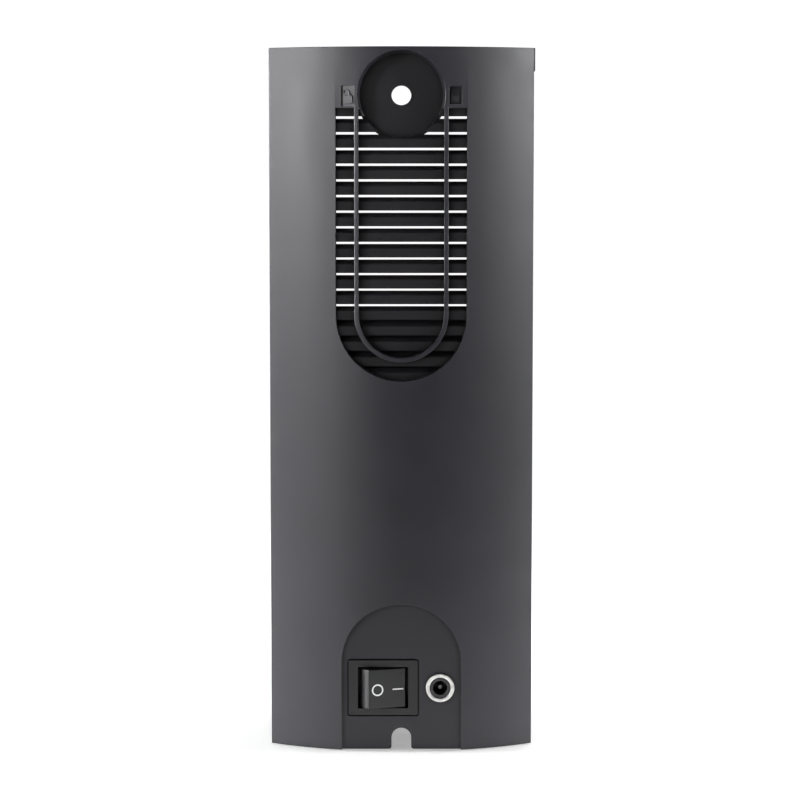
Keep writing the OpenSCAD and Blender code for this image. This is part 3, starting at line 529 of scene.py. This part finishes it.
def rectangle_path(half, centre, axes, lift, radius=0.002, corner_steps=4, spacing=0.004):
    """Points round a rectangle with rounded corners, each with its outward and lift directions."""
    u, v = axes
    path = []
    for corner, (sx, sy) in enumerate(((1, 1), (-1, 1), (-1, -1), (1, -1))):
        hub = centre + u * (sx * (half[0] - radius)) + v * (sy * (half[1] - radius))
        for k in range(corner_steps + 1):
            turn = math.radians(90 * (corner + k / corner_steps))
            outward = u * math.cos(turn) + v * math.sin(turn)
            path.append((hub + outward * radius, outward, lift))
    full = []
    for i, (point, outward, up) in enumerate(path):
        after, outward_after, _ = path[(i + 1) % len(path)]
        steps = max(1, round((after - point).length / spacing))
        for k in range(steps):
            t = k / steps
            full.append((point.lerp(after, t), outward.lerp(outward_after, t).normalized(), up))
    return full


NOISE_SEED = 11          # noise_vector takes its offsets from this, or else from the clock
noise.seed_set(NOISE_SEED)


def roughen(verts, amount, scale):
    """Moves each point by smooth noise, up to about amount metres."""
    return [v + amount * noise.noise_vector(v * scale) for v in verts]


def make_prefilter():
    """Woven mesh stretched in a thin moulded frame."""
    low, high = box_of("prefilter")
    centre = (low + high) / 2
    rim = 0.003                  # width of the frame
    thread = 0.00019             # radius of a thread
    pitch = 0.0022               # distance between threads
    half = ((high.x - low.x) / 2, (high.z - low.z) / 2)
    start = Vector((centre.x, low.y, centre.z))
    outline = rectangle_path(half, start, (X_AXIS, Z_AXIS), Y_AXIS)
    shapes = [loop_section(outline, rounded_section(rim, high.y - low.y, 0.0003))]
    reach = [h - rim * 0.6 for h in half]        # threads end inside the frame
    counts = [round(2 * r / pitch) for r in reach]
    for lengthwise in (0, 1):
        across = 1 - lengthwise
        for i in range(counts[across]):
            offset = -reach[across] + (i + 0.5) * 2 * reach[across] / counts[across]
            points = []
            steps = counts[lengthwise] * 2
            for k in range(steps + 1):
                along = -reach[lengthwise] + k * 2 * reach[lengthwise] / steps
                wave = math.sin(math.pi * (k / 2 + i + lengthwise)) if k % 2 else 0
                place_at = [0, 0]
                place_at[lengthwise], place_at[across] = along, offset
                points.append(centre + X_AXIS * place_at[0] + Z_AXIS * place_at[1]
                              + Y_AXIS * wave * thread * 0.9)
            shapes.append(tube(points, thread, 5))
    piece = mesh_piece("prefilter_weave", *join_shapes(shapes), "prefilter")
    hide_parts("prefilter")


def make_pleats():
    """Pleated paper: round folds, slightly uneven, with glue beads that keep the folds apart."""
    low, high = box_of("filter_media")
    folds, per_fold, levels = 34, 12, 14
    end_gap = 0.0003             # from the paper's ends to the frame
    squareness = 0.45            # 0 gives sine folds, 1 gives flat ones
    wobble_size = 0.00035
    depth = (high.y - low.y) / 2 - 0.0008
    middle = (high.y + low.y) / 2
    width = high.x - low.x - 2 * end_gap
    verts, faces = [], []
    columns = folds * per_fold
    for j in range(levels + 1):
        z = low.z + (high.z - low.z) * j / levels
        for i in range(columns + 1):
            phase = i / per_fold * math.pi
            wave = math.sin(phase) / (abs(math.sin(phase)) ** squareness + 0.02)
            spot = Vector((low.x + end_gap + width * i / columns, middle + depth * wave * 0.97, z))
            wobble = wobble_size * noise.noise(Vector((i / per_fold * 0.7, j * 0.5, 3.1)))
            verts.append(spot + Vector((wobble if 0 < i < columns else 0, 0, 0)))
    row = columns + 1
    for j in range(levels):
        faces += [(j * row + i, j * row + i + 1, (j + 1) * row + i + 1, (j + 1) * row + i)
                  for i in range(columns)]
    piece = mesh_piece("pleated_paper", verts, faces, "filter_media")
    thick = piece.modifiers.new("paper_thickness", "SOLIDIFY")
    thick.thickness = 0.00035
    thick.offset = 0
    beads = []
    rows, steps, bead_r = 4, 90, 0.0006
    for j in range(1, rows + 1):
        z = low.z + (high.z - low.z) * j / (rows + 1)
        points = []
        for i in range(steps + 1):
            x = low.x + 0.001 + (width - 0.001) * i / steps
            y = high.y - 0.0007 + 0.00025 * math.sin(i * 2.1)
            points.append(Vector((x, y, z)))
        beads.append(tube(points, bead_r, 8))
    bead = mesh_piece("glue_beads", *join_shapes(beads), "filter_media")
    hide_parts("filter_media")
    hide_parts("filter_media")


def make_carbon():
    """Scrim packed with carbon granules: a slab with a lumpy skin."""
    low, high = box_of("carbon_filter")
    across, tall = 70, 104       # squares in each skin
    skin = 0.0005                # depth that the lumps take up
    verts, faces = [], []
    for side, y in ((0, low.y + skin), (1, high.y - skin)):
        out = Vector((0, -1 if side == 0 else 1, 0))
        for j in range(tall + 1):
            for i in range(across + 1):
                spot = Vector((low.x + (high.x - low.x) * i / across, y,
                               low.z + (high.z - low.z) * j / tall))
                edge = i in (0, across) or j in (0, tall)
                lump = 0 if edge else skin * (0.5 + 0.5 * noise.noise(spot * 700))
                verts.append(spot + out * lump)
    row, layer = across + 1, (across + 1) * (tall + 1)
    for j in range(tall):
        for i in range(across):
            a = j * row + i
            faces.append((a, a + 1, a + row + 1, a + row))
            faces.append(tuple(layer + n for n in (a + row, a + row + 1, a + 1, a)))
    rim = list(range(across))
    rim += [j * row + across for j in range(tall)]
    rim += [tall * row + i for i in range(across, 0, -1)]
    rim += [j * row for j in range(tall, 0, -1)]
    for k, a in enumerate(rim):
        b = rim[(k + 1) % len(rim)]
        faces.append((b, a, layer + a, layer + b))
    piece = mesh_piece("carbon_layer", verts, faces, "carbon_filter")
    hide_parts("carbon_filter")


def make_seal():
    """Foam strip round the back of the cartridge."""
    low, high = box_of("filter_seal")
    start = Vector(((low.x + high.x) / 2, low.y, (low.z + high.z) / 2))
    margin = 0.0002              # room for the roughened skin
    half = ((high.x - low.x) / 2 - margin, (high.z - low.z) / 2 - margin)
    path = rectangle_path(half, start, (X_AXIS, Z_AXIS), Y_AXIS,
                          radius=0.003, corner_steps=5, spacing=0.0012)
    strip = rounded_section(0.0036, high.y - low.y, 0.0009, 4)
    verts, faces = loop_section(path, strip)
    piece = mesh_piece("seal_strip", roughen(verts, 0.00015, 900), faces, "filter_seal")
    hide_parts("filter_seal")


def make_gasket():
    """Thin foam pad under the fan, cut out for the air and the screws."""
    low, high = box_of("fan_gasket")
    centre = Vector(((low.x + high.x) / 2, (low.y + high.y) / 2, low.z))
    half = (high.x - low.x) / 2 - 0.0001
    inner = half - 0.0015        # radius of the air opening
    corner_reach = half * 1.36   # cuts the corners off a little
    depth = high.z - low.z
    crown = 0.08 * depth         # how far the faces swell
    steps, rings = 192, 5
    verts, faces = [], []
    for k in range(steps):
        turn = 2 * math.pi * k / steps
        way = X_AXIS * math.cos(turn) + Y_AXIS * math.sin(turn)
        square = half / max(abs(math.cos(turn)), abs(math.sin(turn)))
        outer = min(square, corner_reach)
        for ring in range(rings + 1):
            radius = inner + (outer - inner) * ring / rings
            bulge = crown * math.sin(math.pi * ring / rings)
            verts.append(centre + way * radius + Z_AXIS * (crown - bulge))
            verts.append(centre + way * radius + Z_AXIS * (0.92 * depth + bulge))
    per = 2 * (rings + 1)
    for k in range(steps):
        a, b = k * per, (k + 1) % steps * per
        for ring in range(rings):
            i = 2 * ring
            faces.append((a + i + 1, a + i + 3, b + i + 3, b + i + 1))
            faces.append((a + i, b + i, b + i + 2, a + i + 2))
        faces.append((a, a + 1, b + 1, b))
        last = 2 * rings
        faces.append((a + last, b + last, b + last + 1, a + last + 1))
    piece = mesh_piece("gasket_pad", roughen(verts, 0.00008, 900), faces, "fan_gasket")
    hole_at, hole_r, overshoot = 0.03, 0.0022, 0.001
    rods = []
    for sx in (-1, 1):
        for sy in (-1, 1):
            ends = [centre + Vector((sx * hole_at, sy * hole_at, z))
                    for z in (-overshoot, overshoot + depth)]
            rods.append(tube(ends, hole_r, 24))
    drill = bpy.data.objects.new("drill", bpy.data.meshes.new("drill"))
    rod_verts, rod_faces = join_shapes(rods)
    drill.data.from_pydata([tuple(v) for v in rod_verts], [], rod_faces)
    bpy.context.scene.collection.objects.link(drill)
    cut = piece.modifiers.new("screw_holes", "BOOLEAN")
    cut.object = drill
    cut.operation = "DIFFERENCE"
    bpy.context.view_layer.update()
    cut_piece = piece.evaluated_get(bpy.context.evaluated_depsgraph_get())
    cut_mesh = bpy.data.meshes.new_from_object(cut_piece)
    piece.modifiers.clear()
    piece.data = cut_mesh
    bpy.data.objects.remove(drill)
    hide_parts("fan_gasket")


def make_tab():
    """Pull ribbon folded double, its two plies stitched together above the fold."""
    low, high = box_of("filter_tab")
    ply = 0.00018                # thickness of one layer
    straight, bends = 24, 8      # steps along each ply and round the fold
    head = high.z - 0.0005
    centre_x, depth = (low.x + high.x) / 2, high.y - low.y
    width, tall = high.x - low.x - 0.0004, high.z - low.z - 0.001
    back, front = low.y + ply * 0.6, high.y - ply * 0.9
    bend = (front - back) / 2
    profile = []
    for k in range(straight + 1):            # back ply, down to the fold
        t = k / straight
        profile.append((back, head - t * (tall - bend)))
    for k in range(1, bends):                # the fold
        turn = math.radians(180 * k / bends)
        profile.append((back + bend - bend * math.cos(turn),
                        head - tall + bend - bend * math.sin(turn)))
    for k in range(straight + 1):            # front ply, pressed in at the stitches
        t = k / straight
        pressed = 0.0001 * math.exp(-((t - 0.86) / 0.07) ** 2)
        profile.append((front - pressed, head - (1 - t) * (tall - bend)))
    columns = 16
    verts = []
    for y, z in profile:
        for i in range(columns + 1):
            across = 2 * i / columns - 1
            curl = min(0.00005, depth * 0.1) * across * across * math.sin(z * 330)
            verts.append(Vector((centre_x + width / 2 * across, y + curl, z)))
    row = columns + 1
    faces = [(j * row + i, j * row + i + 1, (j + 1) * row + i + 1, (j + 1) * row + i)
             for j in range(len(profile) - 1) for i in range(columns)]
    piece = mesh_piece("pull_ribbon", verts, faces, "filter_tab")
    thick = piece.modifiers.new("ribbon_thickness", "SOLIDIFY")
    thick.thickness = ply
    thick.offset = 0
    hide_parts("filter_tab")
    stitch_length, stitch_pitch, stitch_r = 0.0013, 0.002, 0.00011
    stitches = []
    for down in (0.003, 0.0048):             # two rows, below the ribbon's head
        for i in range(-3, 4):
            x, z = centre_x + i * stitch_pitch, high.z - down
            points = []
            for t in (0, 0.25, 0.5, 0.75, 1):
                y = front + 0.00004 + 0.00003 * math.sin(math.pi * t)
                points.append(Vector((x + stitch_length * (t - 0.5), y, z)))
            stitches.append(tube(points, stitch_r, 6))
    seam = mesh_piece("ribbon_stitches", *join_shapes(stitches), "filter_tab")
    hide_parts("filter_tab")


def revolved(profile, steps=96):
    """Vertices and faces of a closed (radius, height) profile turned about Z."""
    verts = []
    for k in range(steps):
        turn = 2 * math.pi * k / steps
        verts += [Vector((r * math.cos(turn), r * math.sin(turn), z)) for r, z in profile]
    count = len(profile)
    faces = []
    for k in range(steps):
        a, b = k * count, (k + 1) % steps * count
        faces += [(a + i, b + i, b + (i + 1) % count, a + (i + 1) % count) for i in range(count)]
    return verts, faces


def blade(turn, hub_r, tip_r, low, high):
    """One cambered, twisted blade, flatter towards its tip."""
    spans, chords = 9, 14                    # steps along the blade and along each face
    middle, half = (low + high) / 2, (high - low) / 2
    rings = []
    for j in range(spans + 1):
        t = j / spans
        r = hub_r + (tip_r - hub_r) * t
        slope = math.radians(54 - 20 * t)
        swept = math.radians(9) * t * t
        loop = []
        for side in (1, -1):                 # upper face, then lower
            for i in range(chords):
                s = -1 + 2 * i / chords if side == 1 else 1 - 2 * i / chords
                reach = (half - 0.0002) * (1 - 0.06 * t)
                height = s * reach
                camber = 0.0016 * (1 - s * s)
                fullness = 0.00022 + 0.0005 * math.sqrt(max(0, 1 - s * s))
                thick = fullness * (1.15 - 0.45 * t) * side
                along = height / math.tan(slope)
                x = along - (camber + thick) * math.sin(slope)
                z = height + (camber + thick) * math.cos(slope) * 0.6
                z = max(-half, min(half, z))
                angle = turn + swept + x / r
                loop.append(Vector((r * math.cos(angle), r * math.sin(angle), middle + z)))
        rings.append(loop)
    size = len(rings[0])
    verts = [v for loop in rings for v in loop]
    faces = [(j * size + i, j * size + (i + 1) % size, (j + 1) * size + (i + 1) % size,
              (j + 1) * size + i) for j in range(spans) for i in range(size)]
    faces.append(tuple(range(size - 1, -1, -1)))
    faces.append(tuple(spans * size + i for i in range(size)))
    return verts, faces


def make_rotor():
    """Fan wheel: a hub cup with a rounded rim and seven twisted blades."""
    low, high = box_of("fan_rotor")
    tip_r = high.x
    hub_r, wall, rim_r = 0.014, 0.0011, 0.0012
    top, bottom = high.z, low.z
    cup = [(hub_r, bottom)]
    for a in range(0, 91, 15):               # the rounded rim
        turn = math.radians(a)
        cup.append((hub_r - rim_r + rim_r * math.cos(turn), top - rim_r + rim_r * math.sin(turn)))
    cup += [(0.0096, top), (0.0092, top - 0.0003), (0.0035, top - 0.0003), (0.0031, top),
            (0.0004, top), (0.0004, top - 0.0002), (0.0004, top - 0.0012),
            (hub_r - wall - 0.0006, top - 0.0017), (hub_r - wall, top - 0.0023),
            (hub_r - wall, bottom)]
    shapes = [revolved(cup)]
    blades, overlap, margin = 7, 0.0004, 0.0004
    for k in range(blades):
        turn = 2 * math.pi * k / blades
        shapes.append(blade(turn, hub_r - overlap, tip_r, bottom + margin, top - margin))
    piece = mesh_piece("fan_wheel", *join_shapes(shapes), "fan_rotor")
    edges = piece.modifiers.new("crisp_edges", "EDGE_SPLIT")
    edges.split_angle = math.radians(42)
    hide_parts("fan_rotor")


make_prefilter()
make_pleats()
make_carbon()
make_seal()
make_gasket()
make_tab()
make_rotor()


# ---- studio ----------------------------------------------------------------

def aim(obj, target):
    obj.rotation_euler = (Vector(target) - obj.location).to_track_quat("-Z", "Y").to_euler()


def around(angle, reach, height):
    """A place round the object. At 0 degrees it is on the camera's side, and at 90 on the
    picture's right."""
    turn = math.radians(angle)
    return (math.sin(turn) * reach, -math.cos(turn) * reach, height)


def softbox(name, location, target, size, power, spread):
    data = bpy.data.lights.new(name, "AREA")
    data.shape = "RECTANGLE"
    data.size, data.size_y = size
    data.energy = power
    data.spread = math.radians(spread)
    lamp = bpy.data.objects.new(name, data)
    lamp.location = location
    aim(lamp, target)
    lamp.visible_camera = False
    bpy.context.scene.collection.objects.link(lamp)


def make_floor():
    """White paper with a faint glow that fades out into the white background. Far from the
    object it glows whiter, for camera rays only."""
    bpy.ops.mesh.primitive_circle_add(vertices=96, radius=FLOOR_FADE[1], fill_type="NGON")
    floor = bpy.context.object
    floor.name = "studio_floor"
    floor.location.z = -0.2 * MM     # just under the feet, so the two faces never coincide
    paper = material("studio_paper", (0.92, 0.92, 0.92), 0.8,
                     Emission_Color=(1, 1, 1, 1), Emission_Strength=FLOOR_GLOW)
    coords = add(paper, "ShaderNodeTexCoord")
    reach = add(paper, "ShaderNodeVectorMath", operation="LENGTH")
    link(paper, coords, "Object", reach, "Vector")
    fade = add(paper, "ShaderNodeMapRange", interpolation_type="SMOOTHSTEP")
    for name, value in (("From Min", FLOOR_FADE[0]), ("From Max", FLOOR_FADE[1]), ("To Min", 1.0),
                        ("To Max", 0.0)):
        fade.inputs[name].default_value = value
    link(paper, reach, "Value", fade, "Value")
    link(paper, fade, "Result", shader_of(paper), "Alpha")
    path = add(paper, "ShaderNodeLightPath")
    whiter = add(paper, "ShaderNodeMapRange", interpolation_type="SMOOTHSTEP")
    for name, value in (("From Min", WHITER[0]), ("From Max", WHITER[1]), ("To Min", 0.0),
                        ("To Max", 1 - FLOOR_GLOW)):
        whiter.inputs[name].default_value = value
    link(paper, reach, "Value", whiter, "Value")
    seen = add(paper, "ShaderNodeMath", operation="MULTIPLY_ADD")
    link(paper, path, "Is Camera Ray", seen, 0)
    link(paper, whiter, "Result", seen, 1)
    seen.inputs[2].default_value = FLOOR_GLOW
    link(paper, seen, "Value", shader_of(paper), "Emission Strength")
    floor.data.materials.append(paper)


def make_world():
    """White where the camera sees it. It gives ROOM_LEVEL of light, which is none."""
    world = bpy.data.worlds.new("studio")
    world.use_nodes = True
    tree = world.node_tree
    back = tree.nodes["Background"]
    back.inputs["Color"].default_value = (1, 1, 1, 1)
    path = tree.nodes.new("ShaderNodeLightPath")
    level = tree.nodes.new("ShaderNodeMapRange")
    level.inputs["To Min"].default_value = ROOM_LEVEL
    level.inputs["To Max"].default_value = WHITE_LEVEL
    tree.links.new(path.outputs["Is Camera Ray"], level.inputs["Value"])
    tree.links.new(level.outputs["Result"], back.inputs["Strength"])
    bpy.context.scene.world = world


ROOM_LEVEL, WHITE_LEVEL = 0.0, 1.05  # background strength for light, and for the camera
FLOOR_GLOW = 0.36                    # the floor's own glow, which also lights the object
FLOOR_FADE = (0.35, 0.8)             # radii over which the floor turns clear
WHITER = (0.1, 0.26)                 # radii over which it turns white to the camera
UPPER, LOWER = 0.33, -0.03           # heights that the narrow lights aim at
LIGHTS = [
    # name, angle, reach, height, target, size, power, spread
    ("left_front_low", -32, 1.1, 0.22, (0, 0, 0.13), (0.35, 0.35), 1.59, 180),
    ("left_mid_low", -52, 1.1, 0.22, (0, 0, 0.13), (0.35, 0.35), 0.24, 180),
    ("left_mid_upper", -50, 1.0, 0.42, (-0.03, -0.04, UPPER), (0.25, 0.25), 0.21, 28),
    ("left_mid_lower", -50, 1.0, 0.16, (-0.03, -0.04, LOWER), (0.25, 0.25), 0.067, 28),
    ("left_side_upper", -90, 1.0, 0.42, (-0.03, -0.04, UPPER), (0.25, 0.25), 0.682, 28),
    ("left_side_lower", -90, 1.0, 0.16, (-0.03, -0.04, LOWER), (0.25, 0.25), 0.6, 28),
    ("right_rear_high", 115, 1.1, 0.8, (0, 0, 0.2), (0.35, 0.35), 2.225, 180),
    ("right_mid_upper", 50, 1.0, 0.42, (0.03, -0.04, UPPER), (0.25, 0.25), 0.074, 28),
    ("right_mid_lower", 50, 1.0, 0.16, (0.03, -0.04, LOWER), (0.25, 0.25), 0.021, 28),
    ("right_edge_upper", 70, 1.0, 0.42, (0.03, -0.04, UPPER), (0.25, 0.25), 0.204, 28),
    ("right_side_lower", 90, 1.0, 0.16, (0.03, -0.04, LOWER), (0.25, 0.25), 0.47, 28),
    ("overhead", 180, 0.45, 1.5, (0, 0.2, 0), (1.8, 1.0), 10, 180),
    ("front_left", 148, 1.2, 0.5, (0, 0, 0.17), (0.5, 0.9), 6.0, 180),
    ("front_right", -138, 1.2, 0.32, (0, 0, 0.15), (0.25, 0.7), 3.0, 180),
]
for name, angle, reach, height, *rest in LIGHTS:
    softbox(name, around(angle, reach, height), *rest)
make_floor()
make_world()

CAMERA = {"height": 0.2595, "distance": 1.1045, "aside": -0.0006, "pitch": 5.321, "lens": 114.2}
view = bpy.data.objects.new("view", bpy.data.cameras.new("view"))
view.location = (CAMERA["aside"], REAR_Y - CAMERA["distance"], CAMERA["height"])
view.rotation_euler = (math.radians(90 - CAMERA["pitch"]), 0, 0)
view.data.lens = CAMERA["lens"]
view.data.sensor_width = 36
view.data.clip_end = 30
bpy.context.scene.collection.objects.link(view)
bpy.context.scene.camera = view
bpy.context.scene.view_settings.view_transform = "Standard"
